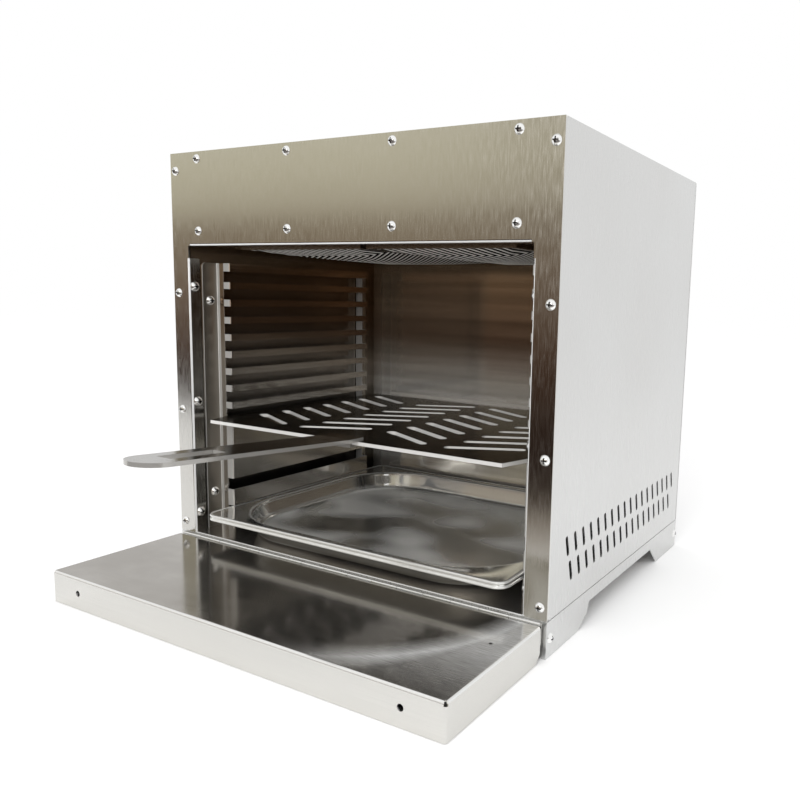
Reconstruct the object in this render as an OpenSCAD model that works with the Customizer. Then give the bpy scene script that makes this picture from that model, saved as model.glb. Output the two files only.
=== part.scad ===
// Portable overhead gas grill: a stainless sheet casing with two ceramic burners under its header,
// slotted racks for a grate, a drip pan below it and a folding shelf in front.
// The frame stands at the foot of the front rail: X to the right, Y to the back, Z up.

/* [Casing] */
// Outside width of the casing
casing_w = 395; // [350:1:440]
// Depth of the casing from the front plane to the back
casing_d = 316; // [280:1:370]
// Height of the casing above the base
casing_h = 352; // [300:1:400]
// Height of the base, from the table to the casing's floor
base_h = 29; // [24:1:45]
// Thickness of the casing's sheet
sheet = 1; // [0.8:0.1:1.4]
// Thickness of the base's sheet
base_t = 1.2; // [1:0.1:2]
// Outside radius of the casing's bends
bend_r = 2; // [1.6:0.1:3]
// Width of the flanges that the panels are screwed to
flange_w = 12; // [11:0.5:16]
// Width of the front panel's two legs
column_w = 20.5; // [18:0.5:26]
// Height of the header above the opening
header_h = 82; // [74:1:100]
// Depth of the opening's folded returns
return_d = 12; // [9:0.5:12]
// Height of the corner relief above each side return
return_relief = 11; // [6:0.5:16]
// Depth of the space behind the back wall
rear_d = 49; // [45:1:60]

/* [Base] */
// Length of the front feet
foot_front_l = 59; // [40:1:80]
// Length of the rear feet
foot_rear_l = 64; // [40:1:80]
// Height of the arch between the feet
arch_h = 18; // [12:0.5:20]
// Length of the slope from a foot to the arch
arch_slope = 20; // [12:1:30]
// Width of the base's folded lips
lip_w = 14; // [10:1:20]

/* [Vents] */
// Number of slots in the upper row of a side
vent_count = 18; // [10:1:18]
// Length of a vent slot
vent_l = 16.5; // [10:0.5:18]
// Width of a vent slot
vent_w = 4.2; // [3:0.1:6]
// Lean of the vent slots from upright, in degrees
vent_lean = 15; // [0:1:25]
// Height of the upper row's middle above the casing's floor
vent_upper_z = 48.5; // [44:0.5:60]
// Height of the lower row's middle above the casing's floor
vent_lower_z = 27.5; // [20:0.5:28]
// Middle of the upper row's first slot behind the front plane
vent_start_y = 31; // [24:0.5:40]
// Middle of the upper row's last slot before the back
vent_end_y = 26.6; // [22:0.2:40]

/* [Racks] */
// Thickness of the rack's sheet
rack_t = 1.2; // [1:0.1:1.6]
// How far the slotted face stands out from the side wall
rack_out = 18; // [14:0.5:20]
// Front edge of the rack behind the front plane
rack_front = 15; // [14.5:0.5:18]
// Width of the rack's flanges on the side wall
rack_flange = 16; // [13:0.5:18]
// Gap between the rack and the back wall
rack_back = 17; // [14:1:40]
// Gap between the rack and the opening's top
rack_head = 14; // [8:1:20]
// Distance between the grate slots
rack_pitch = 16.3; // [15:0.1:16.5]
// Height of a grate slot
rack_slot_h = 10; // [6:0.5:11]
// Lower edge of the lowest grate slot above the casing's floor
rack_first = 108; // [100:1:112]
// How far the slots run round the rack's bends
rack_slot_in = 7.5; // [6:0.5:9]
// Lower edge of the spare slot above the casing's floor
spare_slot_z = 38; // [30:0.5:45]
// Height of the spare slot
spare_slot_h = 11; // [6:0.5:14]
// Lower edge of the pan's slot above the casing's floor
pan_slot_z = 15.5; // [14:0.5:18]
// Height of the pan's slot
pan_slot_h = 6.5; // [6.5:0.5:9]

/* [Grate] */
// Thickness of the grate's plate
grate_t = 3; // [2:0.5:4]
// Gap between the grate and the back wall
grate_back = 15; // [12:0.5:25]
// Front edge of the grate behind the front plane
grate_front = 2; // [-6:0.5:8]
// How far the grate reaches into each slot
grate_bite = 4; // [2.5:0.5:5]
// Width taken off each front corner of the grate
grate_taper_w = 8.5; // [4:0.5:12]
// Depth of the grate's tapered corners
grate_taper_d = 30; // [10:1:40]
// Columns of slots in the grate
grate_columns = 4; // [2:2:4]
// Rows of slots in the grate
grate_rows = 7; // [3:1:7]
// Middle of the outer columns from the grate's sides
grate_side = 47; // [42:0.5:52]
// Web left between two columns of slots
grate_web = 18.3; // [12:0.1:30]
// Middle of the first row behind the grate's front edge
grate_row_start = 40; // [34:1:44]
// Middle of the last row before the grate's rear edge
grate_row_end = 33; // [28:1:44]
// Width of a grate slot
grate_slot_w = 8.5; // [5:0.5:10]
// Slant of the grate's slots in degrees
grate_slant = 27; // [0:1:32]

/* [Lifter] */
// Width of the lifter's bar
lifter_w = 34; // [28:1:45]
// Thickness of the lifter's bar
lifter_t = 3; // [2:0.5:4]
// Outer end of the lifter in front of the front plane
lifter_reach = 191; // [150:1:240]
// Middle of the lifter to the right of the grate's middle
lifter_side = 4; // [-60:1:60]
// Length of the lifter that lies on the grate
lifter_tip = 6; // [4:0.5:30]
// Upward slope of the lifter's bar in degrees
lifter_slope = 3.8; // [3:0.1:12]
// Length of the lifter's hand hole
hand_hole_l = 44; // [30:1:56]
// Width of the lifter's hand hole
hand_hole_w = 14; // [10:1:20]
// Middle of the hand hole from the lifter's outer end
hand_hole_from_end = 46; // [42:1:60]
// Width of the tongue under the grate
tongue_w = 20; // [12:1:28]
// Length of the tongue under the grate
tongue_reach = 14; // [8:1:24]
// Thickness of the tongue under the grate
tongue_t = 2; // [1.5:0.5:3]

/* [Drip pan] */
// How far the pan's rim reaches into each slot
pan_bite = 2.5; // [2:0.5:4]
// Gap between the pan's rim and the back wall
pan_back = 4.5; // [2:0.5:15]
// Front of the pan's rim before the front plane
pan_proud = 2.5; // [1.5:0.5:6]
// Thickness of the pan's rolled rim
pan_rim_h = 5.8; // [3:0.1:6]
// Corner radius of the pan's rim
pan_corner_r = 12; // [6:1:20]
// Flat width of the pan's rim
pan_rim_w = 10; // [9:0.5:14]
// Corner radius of the pan's well at its mouth
well_corner_r = 70; // [40:1:80]
// How far the well's walls lean in
well_lean = 5; // [3:0.5:12]
// Depth of the pan below the top of its rim
pan_depth = 19.5; // [10:0.5:20]
// Thickness of the pan's sheet
pan_t = 0.8; // [0.6:0.1:1.2]

/* [Shelf] */
// Depth of the folding shelf
shelf_d = 124; // [80:1:128]
// Thickness of the folding shelf
shelf_h = 26.5; // [18:0.5:26.5]
// How far each end of the shelf lies inside the casing's side
shelf_inset = 2.2; // [1:0.1:4]
// Step from the casing's floor down to the top of the shelf
shelf_drop = 2.3; // [2:0.1:3]
// Gap between the front rail and the shelf
shelf_gap = 3.3; // [3.3:0.1:4]
// Radius of the two holes in the shelf's front
shelf_hole_r = 2.5; // [1.5:0.1:4]
// Distance of the two front holes from the shelf's ends
shelf_hole_edge = 33.3; // [20:0.1:80]
// Radius of the small hole in the right end of the shelf's top
shelf_top_hole_r = 1.4; // [1:0.1:3]
// Distance of the small hole from the shelf's right end
shelf_top_hole_edge = 17; // [8:0.5:40]
// Distance of the small hole from the shelf's rear edge
shelf_top_hole_back = 44; // [10:1:100]
// Radius of the hinge's pin
hinge_pin_r = 0.7; // [0.6:0.05:0.8]
// Radius of the hinge's knuckles
hinge_r = 1.35; // [1.3:0.05:1.35]
// Thickness of the hinge's leaves
leaf_t = 0.6; // [0.5:0.05:0.7]
// Height of the hinge's leaves
leaf_h = 16; // [10:1:20]
// Number of knuckles along the hinge
knuckle_count = 15; // [5:2:21]

/* [Burners] */
// Mean gap between the burners and the side walls
burner_side = 35; // [32:1:45]
// Middle of the two burners to the right of the casing's middle
burner_shift = 7; // [0:0.5:10]
// Gap between the burners and the back wall
burner_back = 11; // [8:1:30]
// Gap between the two burners
burner_gap = 6; // [4:1:10]
// Front of the burners behind the front plane
burner_front = 24; // [20:1:28]
// How far the burners hang below the opening's top
burner_drop = 2; // [1.5:0.5:4]
// How much lower the burner's housing is than the header
burner_headroom = 30; // [24:1:40]
// Thickness of the ceramic tile
tile_t = 13; // [9:1:16]
// How far the tile's face bows down below its lip
tile_bow = 6; // [2:0.5:7]
// Width of the lip under the tile
tile_lip = 5; // [3:0.5:8]
// Thickness of the burner's sheet
burner_t = 1; // [0.8:0.1:1.5]
// Radius of the mixing tube
mixer_r = 12; // [9:0.5:14]
// Wall of the mixing tube
mixer_t = 1.2; // [1:0.1:2]

/* [Gas] */
// Radius of the manifold pipe
manifold_r = 6; // [5:0.5:7]
// Radius of the gas inlet's thread
inlet_r = 6.58; // [5:0.01:8]
// Length of the gas inlet outside the back
inlet_out = 22; // [16:1:30]
// Distance of the manifold's middle from the back
manifold_back = 10; // [9:0.5:12]
// Distance of the valve's middle from the back
valve_back = 32; // [30:1:42]
// Radius of the control knob
knob_r = 19; // [14:0.5:24]
// Height of the control knob
knob_h = 22; // [16:1:28]
// Radius of the valve's spindle
spindle_r = 3; // [2.5:0.1:4]
// Distance between the valve and the igniter
igniter_ahead = 52; // [46:1:80]
// Distance between the igniter and the electrode
electrode_ahead = 28; // [20:1:40]
// Radius of the igniter's sleeve
igniter_r = 9; // [8:0.5:11]
// Travel of the igniter's button
button_travel = 5; // [3:0.5:6]

/* [Fasteners] */
// Radius of a screw's head
head_r = 4; // [3:0.1:4.5]
// Height of a screw's head
head_h = 2.6; // [1.8:0.1:3]
// Radius of the head of a screw in a side wall
wall_head_r = 4.7; // [3.5:0.1:5]
// Height of the head of a screw in a side wall
wall_head_h = 3.3; // [2:0.1:3.6]
// Radius of a screw's shank
shank_r = 1.9; // [1.4:0.1:2.2]
// Length of a screw's shank
shank_l = 7; // [5:0.5:9]
// Clearance round a screw's shank
screw_clear = 0.15; // [0.1:0.05:0.3]
// Distance of the panel screws from the casing's edges
screw_edge = 6.3; // [6:0.1:7]
// Lowest column screw above the casing's floor
column_first = 9.5; // [8:0.5:20]
// Highest column screw below the casing's top
column_last = 15.5; // [14.5:0.5:30]
// Outer header screws from the casing's sides
header_end = 34.75; // [28:0.25:50]
// Height of the header's lower screws above the opening
header_lower = 13; // [11:0.5:16]
// Lowest return screw above the casing's floor
return_first = 19.5; // [14:0.5:30]
// Highest return screw below the opening's top
return_last = 36.5; // [20:0.5:50]
// Lower rack screw above the casing's floor
rack_screw_low = 36; // [20:1:60]
// Upper rack screw below the rack's top
rack_screw_high = 35; // [15:1:60]

/* [Hidden] */
$fn = 64;

// Clearance between a moving piece and what carries it
run_clear = 0.3;
// Radial clearance of a pin in its bore
pin_clear = 0.05;
// Small overshoot of a cutting shape
cut = 0.5;
// Height and depth of the seam between the base and the side panels
seam = 0.8;

opening_w = casing_w - 2 * column_w;
opening_h = casing_h - header_h;
cavity_d = casing_d - rear_d;
half_w = casing_w / 2;
half_open = opening_w / 2;
floor_z = base_h;
top_z = base_h + casing_h;
open_z = floor_z + opening_h;
deck_z = floor_z + sheet;
wall_x = half_open + sheet;
carrier_z = open_z + sheet;
flange_x = half_w - sheet - flange_w;
screw_x = half_w - screw_edge;
screw_hole_r = shank_r + screw_clear;

vent_pitch = (casing_d - vent_start_y - vent_end_y) / (vent_count - 1);
column_pitch = (casing_h - column_first - column_last) / 3;
header_pitch = (casing_w - 2 * header_end) / 3;
return_pitch = (opening_h - return_first - return_last) / 2;
column_zs = [for (i = [0:3]) floor_z + column_first + i * column_pitch];
header_xs = [for (i = [0:3]) (i - 1.5) * header_pitch];
header_top_z = top_z - screw_edge;
header_low_z = open_z + header_lower;
return_zs = [for (i = [0:2]) floor_z + return_first + i * return_pitch];
return_screw_y = return_d / 2;

rack_gap = 2 * (wall_x - rack_out);
rack_l = cavity_d - rack_back - rack_front - 2 * rack_flange;
rack_top = opening_h - rack_head;
rack_slots = floor((rack_top - rack_first - rack_slot_h) / rack_pitch) + 1;
rack_v1 = rack_front + rack_flange;
rack_v2 = rack_v1 + rack_l;
rack_v3 = rack_v2 + rack_flange;
rack_inner_r = 1;
rack_screw_ys = [rack_front + rack_flange / 2, rack_v3 - rack_flange / 2];
rack_screw_zs = [floor_z + rack_screw_low, floor_z + rack_top - rack_screw_high];
flange_corner_r = 4;

grate_w = rack_gap + 2 * grate_bite;
grate_d = cavity_d - grate_front - grate_back;
grate_column_pitch = (grate_w - 2 * grate_side) / (grate_columns - 1);
grate_row_pitch = (grate_d - grate_row_start - grate_row_end) / (grate_rows - 1);
grate_slot_l = (grate_column_pitch - grate_web - grate_slot_w) / cos(grate_slant) + grate_slot_w;
grate_z = floor_z + rack_first + run_clear;
grate_top = grate_z + grate_t;

pan_w = rack_gap + 2 * pan_bite;
pan_d = cavity_d + pan_proud - pan_back;
pan_rim_z = floor_z + pan_slot_z + run_clear;
pan_front = -pan_proud;

shelf_w = casing_w - 2 * shelf_inset;
shelf_top = floor_z - shelf_drop;
shelf_foot = shelf_top - shelf_h;
shelf_back = -shelf_gap;
shelf_front = shelf_back - shelf_d;
shelf_hole_span = shelf_w - 2 * shelf_hole_edge;
hinge_y = -shelf_gap / 2;
hinge_z = shelf_top;
hinge_l = shelf_w - 2 * bend_r;
knuckle_pitch = hinge_l / knuckle_count;
knuckle_gap = 0.4;

burner_w = wall_x - burner_side - burner_gap / 2;
burner_l = cavity_d - burner_front - burner_back;
burner_h = header_h - burner_headroom;
burner_pitch = burner_w + burner_gap;
burner_xs = [burner_shift - burner_pitch / 2, burner_shift + burner_pitch / 2];
burner_z = open_z - burner_drop;
burner_flange = 2.4;
mixer_y = burner_front + burner_l;
mixer_rise = 3;
mixer_z = burner_z + burner_h / 2 + mixer_rise;
manifold_y = casing_d - manifold_back;
injector_room = 14;
mouth_y = manifold_y - injector_room;
mixer_l = mouth_y - mixer_y;
injector_y = mouth_y - 2;

valve_neck_l = 12;
valve_x = -half_w + sheet + valve_neck_l;
valve_l = 34;
valve_y = casing_d - valve_back;
inlet_x = valve_x + valve_l / 2;
inlet_body_r = inlet_r + 0.9;
inlet_nut_h = 5;
inlet_inside = 4;
igniter_y = valve_y - igniter_ahead;
igniter_z = mixer_z + 4;
igniter_l = 46;
bezel_h = 3;
terminal_l = 3.5;
electrode_x = -half_w - bezel_h + igniter_l + terminal_l;
electrode_y = igniter_y - electrode_ahead;
electrode_top = igniter_z + 10;

// A quarter of a bent sheet in the first quadrant, drawn along Z
module bend(l, r, t) {
    linear_extrude(l)
        intersection() {
            difference() {
                circle(r);
                circle(r - t);
            }
            square(r);
        }
}

// A flat round-ended slot along X, centred, standing from 0 to h
module round_slot(l, w, h) {
    linear_extrude(h)
        union() {
            square([l - w, w], center = true);
            for (side = [-1, 1])
                translate([side * (l - w) / 2, 0])
                    circle(w / 2);
        }
}

// A domed screw with a cross recess, its head standing on Z = 0 and its shank below
module screw(r = head_r, h = head_h) {
    dome_r = (r * r + h * h) / (2 * h);
    recess_l = r * 1.1;
    recess_w = r * 0.24;
    difference() {
        union() {
            intersection() {
                translate([0, 0, h - dome_r])
                    sphere(dome_r);
                cylinder(r = r, h = h);
            }
            translate([0, 0, -shank_l])
                cylinder(r = shank_r, h = shank_l + cut);
        }
        for (turn = [0, 90])
            rotate(turn)
                translate([-recess_l / 2, -recess_w / 2, h * 0.42])
                    cube([recess_l, recess_w, h]);
    }
}

// A drilled hole along Y, from y1 to y2
module hole_y(x, z, r, y1, y2) {
    translate([x, y1 - cut, z])
        rotate([-90, 0, 0])
            cylinder(r = r, h = y2 - y1 + 2 * cut);
}

// A drilled hole along X, from x1 to x2
module hole_x(y, z, r, x1, x2) {
    translate([x1 - cut, y, z])
        rotate([0, 90, 0])
            cylinder(r = r, h = x2 - x1 + 2 * cut);
}

// The screws and the holes of the front columns
module at_columns() {
    for (side = [-1, 1])
        for (z = column_zs)
            translate([side * screw_x, 0, z])
                children();
}

// The places of the header's screws, four to a row
module at_header() {
    for (x = header_xs)
        for (z = [header_low_z, header_top_z])
            translate([x, 0, z])
                children();
}

// The places of the back panel's screws, round its edge
module at_back() {
    for (side = [-1, 1])
        for (z = column_zs)
            translate([side * screw_x, casing_d, z])
                children();
    for (x = header_xs)
        translate([x, casing_d, header_top_z])
            children();
}

// The places of the rack's and the return's screws on one side wall, facing into the cavity
module at_wall(ys, zs, x) {
    for (y = ys)
        for (z = zs)
            translate([x, y, z])
                rotate([0, -90, 0])
                    children();
}

// A drill along Y at a front or back screw
module drill_y() {
    rotate([90, 0, 0])
        cylinder(r = screw_hole_r, h = 12, center = true);
}

// A drill along the axis of a wall screw
module drill_wall() {
    cylinder(r = screw_hole_r, h = 12, center = true);
}

// The outline of one side of the base, in Y and Z
module foot_outline() {
    rear_foot = casing_d - foot_rear_l;
    polygon([
        [0, 0],
        [foot_front_l, 0],
        [foot_front_l + arch_slope * 0.8, arch_h / 2],
        [foot_front_l + arch_slope, arch_h],
        [rear_foot - arch_slope, arch_h],
        [rear_foot, 0],
        [casing_d, 0],
        [casing_d, base_h],
        [0, base_h]
    ]);
}

// The base: side skirts with feet, a front rail, a back rail and the lips that carry the floor
module base() {
    color([0.78, 0.78, 0.77])
        difference() {
            union() {
                for (side = [0, 1])
                    mirror([side, 0, 0])
                        translate([half_w, 0, 0])
                            rotate([90, 0, -90])
                                mirror([1, 0, 0])
                                    linear_extrude(base_t)
                                        foot_outline();
                translate([-half_w, 0, 0])
                    cube([casing_w, base_t, base_h]);
                translate([-half_w, 0, 0])
                    cube([casing_w, lip_w, base_t]);
                translate([-half_w, casing_d - base_t, arch_h])
                    cube([casing_w, base_t, base_h - arch_h]);
                for (side = [-1, 1])
                    translate([side * (half_w - foot_rear_l / 2) - foot_rear_l / 2, casing_d - base_t, 0])
                        cube([foot_rear_l, base_t, base_h]);
                translate([0, 0, base_h - base_t])
                    linear_extrude(base_t)
                        difference() {
                            translate([-half_w, 0])
                                square([casing_w, casing_d]);
                            translate([-half_w + lip_w, lip_w])
                                square([casing_w - 2 * lip_w, casing_d - 2 * lip_w]);
                        }
            }
            for (side = [-1, 1]) {
                for (y = [screw_edge, casing_d - screw_edge])
                    translate([side * half_w, y, base_h / 2])
                        rotate([0, 90, 0])
                            drill_wall();
                translate([side * half_w, casing_d / 2, base_h])
                    cube([2 * seam, casing_d + 2 * cut, 2 * seam], center = true);
            }
        }
}

// The casing's floor, whose front edge shows between the front panel's legs
module floor_panel() {
    color([0.62, 0.61, 0.6])
        translate([0, 0, floor_z])
            linear_extrude(sheet)
                union() {
                    translate([-half_w + sheet, sheet])
                        square([casing_w - 2 * sheet, casing_d - 2 * sheet]);
                    translate([-half_open, 0])
                        square([opening_w, sheet + cut]);
                }
}

// The front panel: header and two legs round the opening, with folded returns
module front_panel() {
    relief_z = open_z - return_relief;
    side_return_h = relief_z - deck_z;
    color([0.72, 0.7, 0.65])
        difference() {
            union() {
                translate([0, sheet, 0])
                    rotate([90, 0, 0])
                        linear_extrude(sheet)
                            difference() {
                                translate([-half_w, floor_z])
                                    square([casing_w, casing_h]);
                                translate([-half_open, floor_z - cut])
                                    square([opening_w, opening_h + cut]);
                                translate([-half_open - bend_r, floor_z - cut])
                                    square([opening_w + 2 * bend_r, relief_z - floor_z + cut]);
                                translate([-half_open + bend_r, floor_z])
                                    square([opening_w - 2 * bend_r, opening_h + bend_r]);
                            }
                for (side = [0, 1])
                    mirror([side, 0, 0]) {
                        translate([half_open + bend_r, bend_r, deck_z])
                            rotate(180)
                                bend(side_return_h, bend_r, sheet);
                        translate([half_open, bend_r, deck_z])
                            cube([sheet, return_d - bend_r, side_return_h]);
                    }
                translate([-half_open + bend_r, bend_r, open_z + bend_r])
                    rotate([-90, 0, 90])
                        rotate(180)
                            mirror([0, 0, 1])
                                rotate(-90)
                                    bend(opening_w - 2 * bend_r, bend_r, sheet);
                translate([-half_open + bend_r, bend_r, open_z])
                    cube([opening_w - 2 * bend_r, return_d - bend_r, sheet]);
            }
            at_columns()
                drill_y();
            at_header()
                drill_y();
            for (side = [0, 1])
                mirror([side, 0, 0])
                    at_wall([return_screw_y], return_zs, half_open)
                        drill_wall();
        }
}

// The rows of leaning slots low on a side panel
module vents() {
    for (row = [0, 1])
        for (i = [0:vent_count - 1 - row])
            translate([
                half_w - sheet / 2,
                vent_start_y + (i + row / 2) * vent_pitch,
                floor_z + (row == 0 ? vent_upper_z : vent_lower_z)
            ])
                rotate([vent_lean, 0, 0])
                    rotate([90, 90, 90])
                        translate([0, 0, -sheet])
                            round_slot(vent_l, vent_w, 2 * sheet);
}

// One side panel with its bent front and rear flanges, drawn on the right
module side_panel() {
    difference() {
        union() {
            translate([half_w - sheet, sheet + bend_r, floor_z])
                cube([sheet, casing_d - 2 * sheet - 2 * bend_r, casing_h]);
            for (end = [0, 1])
                translate([0, end * casing_d, 0])
                    mirror([0, end, 0]) {
                        translate([half_w - bend_r, sheet + bend_r, deck_z])
                            rotate(-90)
                                bend(casing_h - 2 * sheet, bend_r, sheet);
                        translate([flange_x, sheet, deck_z])
                            cube([flange_w + sheet - bend_r, sheet, casing_h - 2 * sheet]);
                    }
        }
        vents();
        at_columns()
            drill_y();
        translate([0, casing_d, 0])
            at_columns()
                drill_y();
    }
}

module right_panel() {
    color([0.83, 0.83, 0.82])
        side_panel();
}

// The left panel also carries the gas control and the igniter
module left_panel() {
    color([0.83, 0.83, 0.82])
        difference() {
            mirror([1, 0, 0])
                side_panel();
            hole_x(valve_y, mixer_z, spindle_r + 1, -half_w, -half_w + sheet);
            hole_x(igniter_y, igniter_z, igniter_r + screw_clear, -half_w, -half_w + sheet);
        }
}

// The top, with flanges turned down inside the front, the back and the sides
module top_panel() {
    inner_w = 2 * flange_x - 1;
    color([0.83, 0.83, 0.82])
        difference() {
            union() {
                translate([-half_w + sheet, sheet, top_z - sheet])
                    cube([casing_w - 2 * sheet, casing_d - 2 * sheet, sheet]);
                for (y = [sheet, casing_d - 2 * sheet])
                    translate([-inner_w / 2, y, top_z - flange_w])
                        cube([inner_w, sheet, flange_w - sheet / 2]);
                for (x = [-half_w + sheet, half_w - 2 * sheet])
                    translate([x, flange_w + bend_r, top_z - flange_w])
                        cube([sheet, casing_d - 2 * flange_w - 2 * bend_r, flange_w - sheet / 2]);
            }
            at_header()
                drill_y();
            at_back()
                drill_y();
        }
}

// The back, with a row of air slots behind the burners and the gas inlet's hole
module back_panel() {
    slot_count = 12;
    slot_l = 30;
    slot_pitch = 16;
    color([0.8, 0.8, 0.79])
        difference() {
            translate([-half_w, casing_d - sheet, floor_z])
                cube([casing_w, sheet, casing_h]);
            for (i = [0:slot_count - 1])
                translate([(i - (slot_count - 1) / 2) * slot_pitch, casing_d - sheet / 2, mixer_z])
                    rotate([90, 90, 0])
                        translate([0, 0, -sheet])
                            round_slot(slot_l, vent_w, 2 * sheet);
            hole_y(inlet_x, mixer_z, inlet_body_r + screw_clear, casing_d - sheet, casing_d);
            at_back()
                drill_y();
        }
}

// One side wall of the grilling space, drawn on the right
module side_liner() {
    difference() {
        translate([wall_x, bend_r + sheet, deck_z])
            cube([sheet, cavity_d + sheet - bend_r - sheet, carrier_z - deck_z]);
        at_wall(rack_screw_ys, rack_screw_zs, wall_x)
            drill_wall();
        at_wall([return_screw_y], return_zs, wall_x)
            drill_wall();
    }
}

module right_liner() {
    color([0.5, 0.48, 0.45])
        side_liner();
}

module left_liner() {
    color([0.5, 0.48, 0.45])
        mirror([1, 0, 0])
            side_liner();
}

// The back wall of the grilling space
module back_liner() {
    color([0.5, 0.48, 0.45])
        translate([-wall_x, cavity_d, deck_z])
            cube([2 * wall_x, sheet, carrier_z - deck_z]);
}

// The ceiling that the burners hang in, turned up behind the header
module burner_carrier() {
    carrier_bend = 3 * sheet;
    flange_top = header_low_z + 9;
    color([0.45, 0.43, 0.41])
        difference() {
            union() {
                translate([-wall_x - sheet, sheet + carrier_bend, carrier_z])
                    cube([2 * wall_x + 2 * sheet, cavity_d - carrier_bend, sheet]);
                translate([-half_open + bend_r, sheet + carrier_bend, carrier_z + carrier_bend])
                    rotate([0, 90, 0])
                        rotate(-90)
                            bend(opening_w - 2 * bend_r, carrier_bend, sheet);
                translate([-half_open + bend_r, sheet, carrier_z + carrier_bend])
                    cube([opening_w - 2 * bend_r, sheet, flange_top - carrier_z - carrier_bend]);
            }
            for (x = burner_xs)
                translate([x - burner_w / 2 - run_clear, burner_front - run_clear, carrier_z - cut])
                    cube([burner_w + 2 * run_clear, burner_l + 2 * run_clear, sheet + 2 * cut]);
            translate([electrode_x, electrode_y, carrier_z - cut])
                cylinder(r = 3 + screw_clear, h = sheet + 2 * cut);
            at_header()
                drill_y();
        }
}

// A quarter ring of the rack's sheet in its plan
module rack_corner(u, v, r, turn) {
    translate([u, v])
        rotate(turn)
            intersection() {
                difference() {
                    circle(r);
                    circle(r - rack_t);
                }
                square(r);
            }
}

// The rack's plan: a flange on the wall, a step out, the slotted face, a step back and a flange
module rack_plan() {
    outer_r = bend_r;
    hollow_r = rack_inner_r + rack_t;
    inner_u = rack_t + rack_inner_r;
    step_l = rack_out - outer_r - inner_u;
    union() {
        translate([0, rack_front])
            square([rack_t, rack_flange - rack_inner_r]);
        rack_corner(inner_u, rack_v1 - rack_inner_r, hollow_r, 90);
        translate([inner_u, rack_v1])
            square([step_l, rack_t]);
        rack_corner(rack_out - outer_r, rack_v1 + outer_r, outer_r, -90);
        translate([rack_out - rack_t, rack_v1 + outer_r])
            square([rack_t, rack_l - 2 * outer_r]);
        rack_corner(rack_out - outer_r, rack_v2 - outer_r, outer_r, 0);
        translate([inner_u, rack_v2 - rack_t])
            square([step_l, rack_t]);
        rack_corner(inner_u, rack_v2 + rack_inner_r, hollow_r, 180);
        translate([0, rack_v2 + rack_inner_r])
            square([rack_t, rack_flange - rack_inner_r]);
    }
}

// A cutter that rounds a flange's corner, in Y and Z with the corner at the origin
module corner_cut(r) {
    translate([-cut, -cut, -cut])
        difference() {
            cube([rack_t + 2 * cut, r + cut, r + cut]);
            translate([-cut, r + cut, r + cut])
                rotate([0, 90, 0])
                    cylinder(r = r, h = rack_t + 4 * cut);
        }
}

// One slotted rack on the left wall
module rack() {
    rack_h = rack_top - sheet;
    slot_u = rack_out - rack_slot_in;
    slot_zs = concat(
        [for (i = [0:rack_slots - 1]) [rack_first + i * rack_pitch, rack_slot_h]],
        [[spare_slot_z, spare_slot_h], [pan_slot_z, pan_slot_h]]
    );
    difference() {
        translate([-wall_x, 0, deck_z])
            linear_extrude(rack_h)
                rack_plan();
        for (s = slot_zs)
            translate([-wall_x + slot_u, rack_v1 - cut, floor_z + s[0]])
                cube([rack_slot_in + cut, rack_l + 2 * cut, s[1]]);
        translate([-wall_x, rack_front, deck_z + rack_h])
            mirror([0, 0, 1])
                corner_cut(flange_corner_r);
        translate([-wall_x, rack_v3, deck_z + rack_h])
            mirror([0, 1, 0])
                mirror([0, 0, 1])
                    corner_cut(flange_corner_r);
        mirror([1, 0, 0])
            at_wall(rack_screw_ys, rack_screw_zs, wall_x)
                drill_wall();
    }
}

module left_rack() {
    color([0.56, 0.54, 0.51])
        rack();
}

module right_rack() {
    color([0.56, 0.54, 0.51])
        mirror([1, 0, 0])
            rack();
}

// One burner's housing: a box open below, with a lip under the tile and a flange on the carrier
module burner_housing(x) {
    inner_w = burner_w - 2 * burner_t;
    inner_l = burner_l - 2 * burner_t;
    translate([x, burner_front + burner_l / 2, burner_z])
        difference() {
            union() {
                translate([-burner_w / 2, -burner_l / 2, 0])
                    cube([burner_w, burner_l, burner_h]);
                translate([
                    -burner_w / 2 - burner_flange,
                    -burner_l / 2 - burner_flange,
                    carrier_z + sheet - burner_z
                ])
                    cube([burner_w + 2 * burner_flange, burner_l + 2 * burner_flange, burner_t]);
            }
            translate([-inner_w / 2, -inner_l / 2, burner_t])
                cube([inner_w, inner_l, burner_h - 2 * burner_t]);
            translate([-inner_w / 2 + tile_lip, -inner_l / 2 + tile_lip, -cut])
                cube([inner_w - 2 * tile_lip, inner_l - 2 * tile_lip, burner_t + 2 * cut]);
            translate([0, burner_l / 2 + cut, mixer_z - burner_z])
                rotate([90, 0, 0])
                    cylinder(r = mixer_r, h = burner_t + 2 * cut);
        }
}

module left_burner_housing() {
    color([0.6, 0.58, 0.55])
        burner_housing(burner_xs[0]);
}

module right_burner_housing() {
    color([0.6, 0.58, 0.55])
        burner_housing(burner_xs[1]);
}

// Radius of a face of the given width that bows down by tile_bow
function bow_r(w) = (w * w / 4 + tile_bow * tile_bow) / (2 * tile_bow);

// Rise of a bowed face of the given width at a distance from its middle
function bow_rise(w, at) = bow_r(w) - sqrt(bow_r(w) * bow_r(w) - at * at);

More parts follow.
